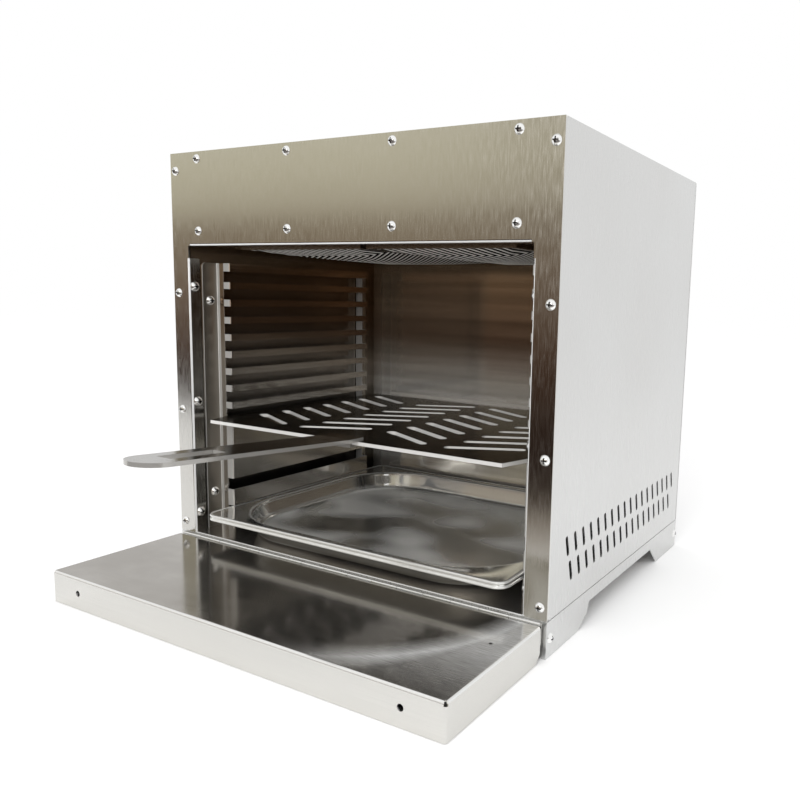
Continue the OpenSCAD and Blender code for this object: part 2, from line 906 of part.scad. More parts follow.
// One ceramic tile with a bowed face and the grooves of its chevrons
module burner_tile(x) {
    tile_w = burner_w - 2 * burner_t - 2 * run_clear;
    tile_l = burner_l - 2 * burner_t - 2 * run_clear;
    face_w = tile_w - 2 * tile_lip;
    face_l = tile_l - 2 * tile_lip;
    face_low = -burner_t - tile_bow;
    groove_pitch = 12;
    groove_w = 2.4;
    groove_d = 1.5;
    groove_slant = 35;
    column_pitch = face_w / 4;
    groove_l = column_pitch - groove_w;
    rows = floor((face_l - 2 * groove_l) / groove_pitch);
    translate([x, burner_front + burner_l / 2, burner_z + burner_t])
        difference() {
            union() {
                translate([-tile_w / 2, -tile_l / 2, 0])
                    cube([tile_w, tile_l, tile_t]);
                intersection() {
                    translate([-face_w / 2, -face_l / 2, face_low])
                        cube([face_w, face_l, tile_t - face_low]);
                    translate([0, 0, bow_r(face_w) + face_low])
                        rotate([90, 0, 0])
                            cylinder(r = bow_r(face_w), h = tile_l, center = true);
                    translate([0, 0, bow_r(face_l) + face_low])
                        rotate([0, 90, 0])
                            cylinder(r = bow_r(face_l), h = tile_w, center = true);
                }
            }
            for (row = [0:rows])
                for (column = [0:3]) {
                    groove_x = (column - 1.5) * column_pitch;
                    groove_y = (row - rows / 2) * groove_pitch;
                    rise = max(bow_rise(face_w, groove_x), bow_rise(face_l, groove_y));
                    translate([groove_x, groove_y, face_low + rise])
                        rotate(column % 2 == 0 ? groove_slant : -groove_slant)
                            cube([groove_l, groove_w, 2 * groove_d], center = true);
                }
        }
}

module left_burner_tile() {
    color([0.8, 0.76, 0.7])
        burner_tile(burner_xs[0]);
}

module right_burner_tile() {
    color([0.8, 0.76, 0.7])
        burner_tile(burner_xs[1]);
}

// One mixing tube with a flared mouth
module mixing_tube(x) {
    flare = 5;
    translate([x, mixer_y, mixer_z])
        rotate([-90, 0, 0])
            rotate_extrude()
                polygon([
                    [mixer_r - mixer_t, 0],
                    [mixer_r, 0],
                    [mixer_r, mixer_l - flare],
                    [mixer_r + flare, mixer_l],
                    [mixer_r + flare - mixer_t, mixer_l],
                    [mixer_r - mixer_t, mixer_l - flare]
                ]);
}

module left_mixing_tube() {
    color([0.66, 0.65, 0.63])
        mixing_tube(burner_xs[0]);
}

module right_mixing_tube() {
    color([0.66, 0.65, 0.63])
        mixing_tube(burner_xs[1]);
}

injector_r = 3;
injector_hex_r = 6;
injector_hex_l = 8;
boss_r = 7.5;
boss_y = injector_y + injector_hex_l;

// The manifold from the valve to both injectors, with a boss for each
module gas_manifold() {
    start_x = valve_x + valve_l;
    color([0.75, 0.62, 0.35])
        difference() {
            union() {
                translate([start_x, manifold_y, mixer_z])
                    rotate([0, 90, 0])
                        cylinder(r = manifold_r, h = burner_xs[1] + boss_r + 4 - start_x);
                for (x = burner_xs)
                    translate([x, boss_y, mixer_z])
                        rotate([-90, 0, 0])
                            cylinder(r = boss_r, h = manifold_y - boss_y);
            }
            for (x = burner_xs)
                translate([x, boss_y - cut, mixer_z])
                    rotate([-90, 0, 0])
                        cylinder(r = injector_r + pin_clear, h = 6 + cut);
        }
}

// The two injectors, each a hexagon with a drilled nose
module injectors() {
    color([0.8, 0.66, 0.36])
        for (x = burner_xs)
            translate([x, injector_y, mixer_z])
                rotate([-90, 0, 0])
                    difference() {
                        union() {
                            translate([0, 0, 2])
                                cylinder(r = injector_hex_r, h = injector_hex_l - 2, $fn = 6);
                            cylinder(r = injector_r + 1, h = 3);
                            cylinder(r = injector_r, h = injector_hex_l + 5);
                        }
                        translate([0, 0, -cut])
                            cylinder(r = 0.6, h = injector_hex_l);
                    }
}

// The gas valve: a block behind the left panel with a neck for the spindle
module gas_valve() {
    block_h = 26;
    block_y = valve_y - block_h / 2;
    block_d = casing_d - sheet - inlet_inside - block_y;
    color([0.74, 0.6, 0.33])
        difference() {
            union() {
                translate([valve_x, block_y, mixer_z - block_h / 2])
                    cube([valve_l, block_d, block_h]);
                translate([-half_w + sheet, valve_y, mixer_z])
                    rotate([0, 90, 0])
                        cylinder(r = 9, h = valve_x + half_w - sheet + cut);
            }
            hole_x(valve_y, mixer_z, spindle_r + pin_clear, -half_w, valve_x + 8);
        }
}

// The gas inlet: a threaded stub from the valve out through the back
module gas_inlet() {
    color([0.8, 0.66, 0.36])
        translate([inlet_x, casing_d - sheet - inlet_inside, mixer_z])
            rotate([-90, 0, 0])
                difference() {
                    union() {
                        cylinder(r = inlet_body_r, h = sheet + inlet_inside + inlet_nut_h + cut);
                        cylinder(r = inlet_r, h = sheet + inlet_inside + inlet_out);
                    }
                    translate([0, 0, sheet + inlet_inside])
                        cylinder(r = inlet_r - 2.6, h = inlet_out + cut);
                }
}

// The nut that clamps the gas inlet to the back
module inlet_locknut() {
    color([0.8, 0.66, 0.36])
        translate([inlet_x, casing_d, mixer_z])
            rotate([-90, 0, 0])
                difference() {
                    cylinder(r = inlet_body_r + 4.5, h = inlet_nut_h, $fn = 6);
                    translate([0, 0, -cut])
                        cylinder(r = inlet_body_r + pin_clear, h = inlet_nut_h + 2 * cut);
                }
}

button_r = igniter_r - 1.8;
button_out = 6;
button_l = 22;

// The piezo igniter: a bezel outside, a sleeve through the left panel and a sealed case inside
module igniter_body() {
    bore_l = bezel_h + button_l - button_out + button_travel + 1;
    color([0.13, 0.13, 0.14])
        translate([-half_w - bezel_h, igniter_y, igniter_z])
            rotate([0, 90, 0])
                difference() {
                    union() {
                        cylinder(r = igniter_r + 3, h = bezel_h);
                        cylinder(r = igniter_r, h = igniter_l);
                        cylinder(r = 3, h = igniter_l + terminal_l);
                    }
                    translate([0, 0, -cut])
                        cylinder(r = button_r + run_clear, h = bore_l + cut);
                }
}

// The nut that clamps the igniter behind the left panel
module igniter_nut() {
    color([0.2, 0.2, 0.21])
        translate([-half_w + sheet, igniter_y, igniter_z])
            rotate([0, 90, 0])
                difference() {
                    cylinder(r = igniter_r + 4, h = 5, $fn = 6);
                    translate([0, 0, -cut])
                        cylinder(r = igniter_r + pin_clear, h = 5 + 2 * cut);
                }
}

// The igniter's button
module igniter_button() {
    color([0.75, 0.1, 0.08])
        translate([-half_w - bezel_h - button_out, igniter_y, igniter_z])
            rotate([0, 90, 0])
                union() {
                    cylinder(r1 = button_r - 1, r2 = button_r, h = 1);
                    translate([0, 0, 1])
                        cylinder(r = button_r, h = button_l - 1);
                }
}

// The spark electrode: a ceramic stem through the carrier, an arm to the burner and a wire tip
module electrode() {
    stem_r = 3;
    arm_r = 1.3;
    arm_z = carrier_z - 2;
    arm_l = 9;
    stem_low = arm_z - arm_r - 0.2;
    wire_r = 0.7;
    spark_gap = 3;
    tip_x = burner_xs[0] - burner_w / 2 - spark_gap;
    color([0.9, 0.88, 0.84])
        union() {
            translate([electrode_x, electrode_y, stem_low])
                cylinder(r = stem_r, h = electrode_top - stem_low);
            translate([electrode_x, electrode_y, carrier_z + sheet])
                cylinder(r = 6, h = 4);
            translate([electrode_x, electrode_y, arm_z])
                rotate([0, 90, 0])
                    cylinder(r = arm_r, h = arm_l);
            translate([electrode_x, electrode_y, arm_z])
                rotate([0, 90, 0])
                    cylinder(r = wire_r, h = tip_x - electrode_x);
        }
}

// The ignition lead: out of the igniter's terminal, along to the electrode and down on to its top
module ignition_lead() {
    lead_r = 1.5;
    run_x = electrode_x + 2.2;
    over_z = electrode_top + 3;
    color([0.7, 0.12, 0.1])
        union() {
            translate([electrode_x, igniter_y, igniter_z])
                rotate([0, 90, 0])
                    cylinder(r = lead_r, h = 3.4);
            translate([run_x, igniter_y, igniter_z - 1.2])
                cylinder(r = lead_r + 0.1, h = over_z - igniter_z + 2.4);
            translate([run_x, electrode_y - 1.2, over_z])
                rotate([-90, 0, 0])
                    cylinder(r = lead_r, h = igniter_y - electrode_y + 2.2);
            translate([electrode_x, electrode_y, electrode_top])
                cylinder(r = lead_r + 0.6, h = 4.2);
        }
}

// The knuckles of one hinge leaf, every second one from the given first
module knuckles(first) {
    for (i = [first:2:knuckle_count - 1])
        translate([-hinge_l / 2 + i * knuckle_pitch + knuckle_gap / 2, hinge_y, hinge_z])
            rotate([0, 90, 0])
                cylinder(r = hinge_r, h = knuckle_pitch - knuckle_gap);
}

// One leaf of the long hinge, with room left for the other leaf's knuckles
module hinge_leaf(y, first) {
    notch_h = hinge_r + run_clear;
    difference() {
        union() {
            translate([-hinge_l / 2, y, hinge_z - leaf_h])
                cube([hinge_l, leaf_t, leaf_h]);
            knuckles(first);
        }
        for (i = [1 - first:2:knuckle_count - 1])
            translate([-hinge_l / 2 + i * knuckle_pitch - knuckle_gap / 2, y - cut, hinge_z - notch_h])
                cube([knuckle_pitch + knuckle_gap, leaf_t + 2 * cut, notch_h + cut]);
        hole_x(hinge_y, hinge_z, hinge_pin_r + pin_clear, -half_w, half_w);
    }
}

module hinge_rail_leaf() {
    color([0.7, 0.7, 0.69])
        hinge_leaf(-leaf_t, 0);
}

module hinge_shelf_leaf() {
    color([0.7, 0.7, 0.69])
        hinge_leaf(-shelf_gap, 1);
}

module hinge_pin() {
    color([0.75, 0.75, 0.74])
        translate([-hinge_l / 2, hinge_y, hinge_z])
            rotate([0, 90, 0])
                cylinder(r = hinge_pin_r, h = hinge_l);
}

module header_screws() {
    color([0.85, 0.85, 0.84])
        at_header()
            rotate([90, 0, 0])
                screw();
}

module column_screws() {
    color([0.85, 0.85, 0.84])
        at_columns()
            rotate([90, 0, 0])
                screw();
}

module return_screws() {
    color([0.85, 0.85, 0.84])
        for (side = [0, 1])
            mirror([side, 0, 0])
                at_wall([return_screw_y], return_zs, half_open)
                    screw(wall_head_r, wall_head_h);
}

module rack_screws() {
    color([0.85, 0.85, 0.84])
        for (side = [0, 1])
            mirror([side, 0, 0])
                at_wall(rack_screw_ys, rack_screw_zs, wall_x - rack_t)
                    screw(wall_head_r, wall_head_h);
}

module base_screws() {
    color([0.85, 0.85, 0.84])
        for (side = [0, 1])
            mirror([side, 0, 0])
                for (y = [screw_edge, casing_d - screw_edge])
                    translate([half_w, y, base_h / 2])
                        rotate([0, 90, 0])
                            screw();
}

module back_screws() {
    color([0.85, 0.85, 0.84])
        at_back()
            rotate([-90, 0, 0])
                screw();
}

// One folded flange of the shelf along X, bent down from the top, drawn at the origin's edge
module shelf_flange(l) {
    translate([-l / 2, 0, 0])
        union() {
            translate([0, bend_r, -bend_r])
                rotate([90, 0, 90])
                    mirror([1, 0, 0])
                        bend(l, bend_r, sheet);
            translate([0, 0, -shelf_h])
                cube([l, sheet, shelf_h - bend_r]);
        }
}

// The folding shelf: a sheet tray open below, its corners closed below a small relief
module shelf() {
    inner_w = shelf_w - 2 * bend_r;
    inner_d = shelf_d - 2 * bend_r;
    relief = 1.2;
    chamfer = 8;
    color([0.8, 0.79, 0.77])
        difference() {
            translate([0, shelf_front, shelf_top])
                union() {
                    translate([-inner_w / 2, bend_r, -sheet])
                        cube([inner_w, inner_d, sheet]);
                    shelf_flange(inner_w);
                    translate([0, shelf_d, 0])
                        mirror([0, 1, 0])
                            shelf_flange(inner_w);
                    for (side = [0, 1])
                        mirror([side, 0, 0])
                            translate([shelf_w / 2, shelf_d / 2, 0])
                                rotate(90)
                                    shelf_flange(inner_d);
                    for (x = [0, 1])
                        for (y = [0, 1])
                            mirror([x, 0, 0])
                                translate([0, y * shelf_d, 0])
                                    mirror([0, y, 0])
                                        translate([inner_w / 2, bend_r, -shelf_h])
                                            rotate(-90)
                                                bend(shelf_h - bend_r - relief, bend_r, sheet);
                }
            for (side = [-1, 1]) {
                hole_y(
                    side * shelf_hole_span / 2, shelf_top - shelf_h / 2, shelf_hole_r,
                    shelf_front, shelf_front + sheet
                );
                translate([side * shelf_w / 2, shelf_back, shelf_foot])
                    rotate([45, 0, 0])
                        cube([4 * sheet, chamfer * sqrt(2), chamfer * sqrt(2)], center = true);
            }
            translate([
                shelf_w / 2 - shelf_top_hole_edge,
                shelf_back - shelf_top_hole_back,
                shelf_top - sheet - cut
            ])
                cylinder(r = shelf_top_hole_r, h = sheet + 2 * cut);
        }
}

// The grate's outline: a plate with tapered front corners
module grate_outline() {
    polygon([
        [-grate_w / 2 + grate_taper_w, 0],
        [grate_w / 2 - grate_taper_w, 0],
        [grate_w / 2, grate_taper_d],
        [grate_w / 2, grate_d],
        [-grate_w / 2, grate_d],
        [-grate_w / 2, grate_taper_d]
    ]);
}

// The grate: a plate cut with columns of slots that slant to and fro
module grate() {
    color([0.6, 0.59, 0.56])
        translate([0, grate_front, grate_z])
            difference() {
                linear_extrude(grate_t)
                    grate_outline();
                for (column = [0:grate_columns - 1])
                    for (row = [0:grate_rows - 1])
                        translate([
                            (column - (grate_columns - 1) / 2) * grate_column_pitch,
                            grate_row_start + row * grate_row_pitch,
                            -cut
                        ])
                            rotate(column % 2 == 0 ? -grate_slant : grate_slant)
                                round_slot(grate_slot_l, grate_slot_w, grate_t + 2 * cut);
            }
}

// The lifter's plan: a bar with a round outer end and a hand hole
module lifter_plan() {
    end_r = lifter_w / 2;
    tip_y = grate_front + lifter_tip;
    difference() {
        union() {
            translate([-end_r, -lifter_reach + end_r])
                square([lifter_w, lifter_reach + tip_y - end_r]);
            translate([0, -lifter_reach + end_r])
                circle(end_r);
        }
        translate([-hand_hole_w / 2, -lifter_reach + hand_hole_from_end - hand_hole_l / 2])
            square([hand_hole_w, hand_hole_l]);
    }
}

// The lifter: a bar that lies on the grate and rises outwards, with a tongue under the grate
module lifter() {
    bend_y = grate_front - 9;
    low = grate_top + run_clear;
    rise = (lifter_reach + bend_y) * tan(lifter_slope);
    tongue_top = grate_z - run_clear;
    tip_y = grate_front + lifter_tip;
    web_back = grate_front - 2 * run_clear;
    web_front = web_back - tongue_t;
    color([0.55, 0.53, 0.5])
        translate([lifter_side, 0, 0])
            union() {
                intersection() {
                    rotate([90, 0, 90])
                        translate([0, 0, -lifter_w])
                            linear_extrude(2 * lifter_w)
                                polygon([
                                    [tip_y, low],
                                    [bend_y, low],
                                    [-lifter_reach, low + rise],
                                    [-lifter_reach, low + rise + lifter_t],
                                    [bend_y, low + lifter_t],
                                    [tip_y, low + lifter_t]
                                ]);
                    translate([0, 0, low - cut])
                        linear_extrude(rise + lifter_t + 2 * cut)
                            lifter_plan();
                }
                translate([-tongue_w / 2, web_front, tongue_top - tongue_t])
                    cube([tongue_w, web_back - web_front, low + lifter_t / 2 - tongue_top + tongue_t]);
                translate([-tongue_w / 2, web_front, tongue_top - tongue_t])
                    cube([tongue_w, grate_front + tongue_reach - web_front, tongue_t]);
            }
}

// A rounded rectangle in plan, by its corner radius
module round_rect(w, d, r) {
    union() {
        translate([-w / 2 + r, 0])
            square([w - 2 * r, d]);
        translate([-w / 2, r])
            square([w, d - 2 * r]);
        for (x = [-1, 1])
            for (y = [r, d - r])
                translate([x * (w / 2 - r), y])
                    circle(r);
    }
}

// The well's outer or inner form, narrowing from its mouth to its floor
module well_form(grow, low, high) {
    mouth_w = pan_w - 2 * pan_rim_w + 2 * grow;
    mouth_d = pan_d - 2 * pan_rim_w + 2 * grow;
    mouth_r = well_corner_r + grow;
    hull() {
        translate([0, pan_rim_w - grow, high])
            linear_extrude(0.01)
                round_rect(mouth_w, mouth_d, mouth_r, $fn = 48);
        translate([0, pan_rim_w - grow + well_lean, low])
            linear_extrude(0.01)
                round_rect(mouth_w - 2 * well_lean, mouth_d - 2 * well_lean, mouth_r, $fn = 48);
    }
}

// The drip pan: a rolled rim with a groove round its edge and a drawn well
module drip_pan() {
    groove = 0.7;
    flange_z = pan_rim_h - pan_t;
    color([0.72, 0.71, 0.69])
        translate([0, pan_front, pan_rim_z])
            difference() {
                union() {
                    difference() {
                        linear_extrude(pan_rim_h)
                            round_rect(pan_w, pan_d, pan_corner_r);
                        translate([0, 3.2, -cut])
                            linear_extrude(flange_z + cut)
                                round_rect(pan_w - 6.4, pan_d - 6.4, pan_corner_r - 3.2);
                        translate([0, 0, pan_rim_h / 2 - groove / 2])
                            linear_extrude(groove)
                                difference() {
                                    translate([0, -1])
                                        round_rect(pan_w + 2, pan_d + 2, pan_corner_r + 1);
                                    translate([0, groove])
                                        round_rect(
                                            pan_w - 2 * groove, pan_d - 2 * groove, pan_corner_r - groove
                                        );
                                }
                    }
                    well_form(pan_t, pan_rim_h - pan_depth, pan_rim_h - 0.01);
                }
                well_form(0, pan_rim_h - pan_depth + pan_t, pan_rim_h + 0.01);
            }
}

// The valve's spindle, with a flat that drives the knob
module valve_spindle() {
    outer_x = -half_w - knob_h * 0.7;
    color([0.8, 0.66, 0.36])
        difference() {
            translate([outer_x, valve_y, mixer_z])
                rotate([0, 90, 0])
                    cylinder(r = spindle_r, h = valve_x + 7 - outer_x);
            translate([outer_x - cut, valve_y - spindle_r, mixer_z + spindle_r * 0.6])
                cube([knob_h * 0.6, 2 * spindle_r, spindle_r]);
        }
}

// The control knob: a tapered skirt with a grip bar and a pointer ridge
module control_knob() {
    skirt_h = 5;
    bar_w = 10;
    bore_l = knob_h * 0.7 - 2 * run_clear;
    color([0.09, 0.09, 0.1])
        translate([-half_w - 2 * run_clear, valve_y, mixer_z])
            rotate([0, -90, 0])
                difference() {
                    union() {
                        cylinder(r = knob_r, h = skirt_h);
                        translate([0, 0, skirt_h])
                            cylinder(r1 = knob_r, r2 = knob_r * 0.78, h = 3);
                        intersection() {
                            cylinder(r1 = knob_r, r2 = knob_r * 0.86, h = knob_h);
                            translate([-knob_r, -bar_w / 2, 0])
                                cube([2 * knob_r, bar_w, knob_h]);
                        }
                        translate([knob_r * 0.45, -0.8, knob_h - cut])
                            cube([knob_r * 0.35, 1.6, 2 * cut]);
                    }
                    difference() {
                        translate([0, 0, -cut])
                            cylinder(r = spindle_r + pin_clear, h = bore_l + cut);
                        translate([spindle_r * 0.6 + pin_clear, -knob_r, bore_l - knob_h * 0.6 + cut])
                            cube([knob_r, 2 * knob_r, knob_h]);
                    }
                }
}

base();
floor_panel();
front_panel();
left_panel();
right_panel();
top_panel();
back_panel();
left_liner();
right_liner();
back_liner();
burner_carrier();
left_rack();
right_rack();
left_burner_housing();
right_burner_housing();
left_burner_tile();
right_burner_tile();
left_mixing_tube();
right_mixing_tube();
gas_manifold();
injectors();
gas_valve();
gas_inlet();
inlet_locknut();
igniter_body();
igniter_nut();
electrode();
ignition_lead();
hinge_rail_leaf();
hinge_pin();
header_screws();
column_screws();
return_screws();
rack_screws();
base_screws();
back_screws();
shelf();
hinge_shelf_leaf();
grate();
lifter();
drip_pan();
valve_spindle();
control_knob();
igniter_button();
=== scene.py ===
"""Looks of the portable gas grill: brushed sheet steel, a polished pan and a plain white studio."""

import math

import bpy
from mathutils import Matrix, Vector


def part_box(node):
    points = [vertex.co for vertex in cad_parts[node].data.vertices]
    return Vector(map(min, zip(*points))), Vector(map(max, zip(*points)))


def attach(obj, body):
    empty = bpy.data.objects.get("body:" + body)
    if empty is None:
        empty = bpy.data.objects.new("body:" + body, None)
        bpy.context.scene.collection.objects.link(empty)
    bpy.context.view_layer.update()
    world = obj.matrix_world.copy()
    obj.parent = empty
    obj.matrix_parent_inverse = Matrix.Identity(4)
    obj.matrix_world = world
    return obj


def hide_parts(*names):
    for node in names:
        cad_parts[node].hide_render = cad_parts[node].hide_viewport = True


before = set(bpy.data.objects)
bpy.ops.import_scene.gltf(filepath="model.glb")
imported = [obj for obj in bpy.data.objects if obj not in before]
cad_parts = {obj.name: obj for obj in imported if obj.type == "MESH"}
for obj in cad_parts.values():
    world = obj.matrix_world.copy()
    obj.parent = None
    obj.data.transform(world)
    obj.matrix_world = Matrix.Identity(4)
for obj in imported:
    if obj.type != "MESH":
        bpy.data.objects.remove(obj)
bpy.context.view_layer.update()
MM = 0.001

# The photograph's camera, in metres and pixels of an 800 by 800 picture
IMAGE = 800
FOCAL_PX = 764.06
PRINCIPAL_PX = (502.48, 405.38)
CAMERA_AT = Vector((0.4222, -0.4761, 0.2610))
CAMERA_FORWARD = Vector((-0.4836, 0.8639, -0.1405))
CAMERA_UP = Vector((-0.0934, 0.1087, 0.9897))
SENSOR_MM = 36
NEAREST = 0.01

# The floor's half width, and how far it lies under the feet
FLOOR_REACH = 30
FLOOR_DROP = 0.0002
# The upright card in front, which the steel mirrors: height in metres and colour
CARD_Y = -1.5
CARD_X = (-3.2, 1.6)
CARD_TOP = 1.6
CARD_TONES = [
    (0.00, (0.060, 0.031, 0.018)),
    (0.08, (0.090, 0.046, 0.025)),
    (0.31, (0.225, 0.163, 0.110)),
    (0.50, (0.320, 0.260, 0.182)),
    (0.53, (0.590, 0.540, 0.407)),
    (0.72, (0.740, 0.700, 0.530)),
    (1.20, (0.850, 0.830, 0.780)),
]
# The card darkens towards its right: place along X and colour
CARD_FADE = [
    (-3.2, (1.0, 1.0, 1.0)),
    (-0.9, (0.98, 0.98, 0.99)),
    (-0.5, (0.72, 0.70, 0.70)),
    (1.6, (0.65, 0.63, 0.63)),
]
# The card that lies in front of the shelf: its corners, its height, and its colour along Y
MAT_EDGE = [(-3.2, -1.5), (1.6, -1.5), (1.6, -0.17), (-0.35, -0.17), (-0.75, -0.56)]
MAT_Z = 0.0003
MAT_TONES = [
    (-1.50, (0.060, 0.031, 0.018)),
    (-1.00, (0.030, 0.016, 0.010)),
    (-0.56, (0.025, 0.014, 0.010)),
    (-0.39, (0.060, 0.045, 0.034)),
    (-0.31, (0.300, 0.260, 0.220)),
    (-0.24, (0.480, 0.440, 0.390)),
    (-0.17, (0.900, 0.890, 0.870)),
]
# The soft lamp behind the camera, low enough to shine into the mouth
LAMP_AT = Vector((0.45, -1.6, 0.75))
LAMP_TO = Vector((0.0, 0.1, 0.12))
LAMP_SIZE = 0.9
LAMP_WATTS = 18

# Noise scales along X, Y and Z for the brush strokes, finest across them
UPRIGHT = (1600, 1600, 18)
COARSE_UP = (900, 900, 80)
ALONG_X = (18, 1600, 1600)
ALONG_Y = (1600, 18, 1600)
LONG_X = (4, 900, 900)
LONG_Y = (900, 4, 900)
# Other noise scales: clouds on any steel, speckle on small metal, the pan and moulded parts
CLOUDS = (9, 9, 9)
SPECKLE = (400, 400, 400)
PAN_SPECKLE = (500, 500, 500)
PEBBLE = (1800, 1800, 1800)
# Most of a noise's values lie in this span
NOISE_SPAN = (0.3, 0.7)
# A surface is an edge once its facing along an axis has gone from the first to the second
EDGE = (0.9, 0.6)
# A surface is flat on an axis once its facing along it has gone from the first to the second
FLAT_ON = (0.5, 0.9)

WHITE = (1, 1, 1)
STEEL = (0.70, 0.69, 0.66)
PALE = (0.73, 0.735, 0.73)
INNER = (0.66, 0.63, 0.59)
# Tints of the back wall by height: brown near the flame, painted shade above the header's shadow line
# near 0.18 m so the part below is brighter, and a little darker towards the bottom
WALL_HEAT_AND_SHADE = [
    (0.03, (0.8, 0.8, 0.8)),
    (0.15, (1.0, 1.0, 1.0)),
    (0.180, (0.64, 0.60, 0.55)),
    (0.212, (0.34, 0.25, 0.185)),
    (0.30, (0.56, 0.43, 0.30)),
]
# Tints of the racks, browned under the burners
RACK_HEAT = [
    (0.03, (0.95, 0.95, 0.95)),
    (0.12, (0.95, 0.95, 0.95)),
    (0.155, (1.0, 1.0, 1.0)),
    (0.20, (1.0, 0.98, 0.94)),
    (0.225, (0.70, 0.58, 0.48)),
    (0.25, (0.60, 0.46, 0.35)),
    (0.30, (0.78, 0.60, 0.44)),
]
# The walls behind the racks are painted shade seen through the racks' slots: dark under the grate, and
# above it tinted as the racks are but darker
SLOT_SHADE = 0.65
SLOT_HEAT_AND_SHADE = [
    (0.03, (0.15, 0.15, 0.15)),
    (0.12, (0.15, 0.15, 0.15)),
    *[(height, tuple(SLOT_SHADE * c for c in tone)) for height, tone in RACK_HEAT[2:]],
]
# The racks' zones: tabs end over TAB_X, the flange's bend and the flange begin over BEND_X and FLANGE_X,
# all by distance from the grill's middle, and the rear flank begins over REAR_Y
TAB_X = (0.1672, 0.1682)
BEND_X = (0.1725, 0.1735)
FLANGE_X = (0.1745, 0.1765)
REAR_Y = (0.2, 0.21)
# The painted highlight arc over the shelf: where it fades in along X, and the corner outside it along Y
ARC_CENTRE = (0.034, 0.012, 0.0277)
ARC_RADIUS = 0.147
ARC_WIDTH = 0.020
ARC_X = (0.05, 0.13)
CORNER_Y = (-0.14, -0.06)

# Edge rounding of CAD nodes, in millimetres
SOFT_EDGES = [
    (0.8, ["front_panel"]),
    (0.4, ["shelf", "base", "left_panel", "right_panel", "top_panel", "floor_panel"]),
    (0.4, ["lifter", "left_rack", "right_rack"]),
    (0.9, ["grate"]),
]
SOFT_SEGMENTS = 2
SOFT_ANGLE = 50

# Thickness of the pan's sheet, in millimetres
PAN_SHEET = 0.8
# Shine of the pan's parts, which sets their painted highlight and tells the outside from the inside: its
# beads, the bends of its mouth and floor, its walls and its outside
BEAD_SHINE = 1.0
MOUTH_SHINE = 0.7
FLOOR_SHINE = 0.35
WALL_SHINE = 0.0
OUTSIDE_SHINE = -1.0


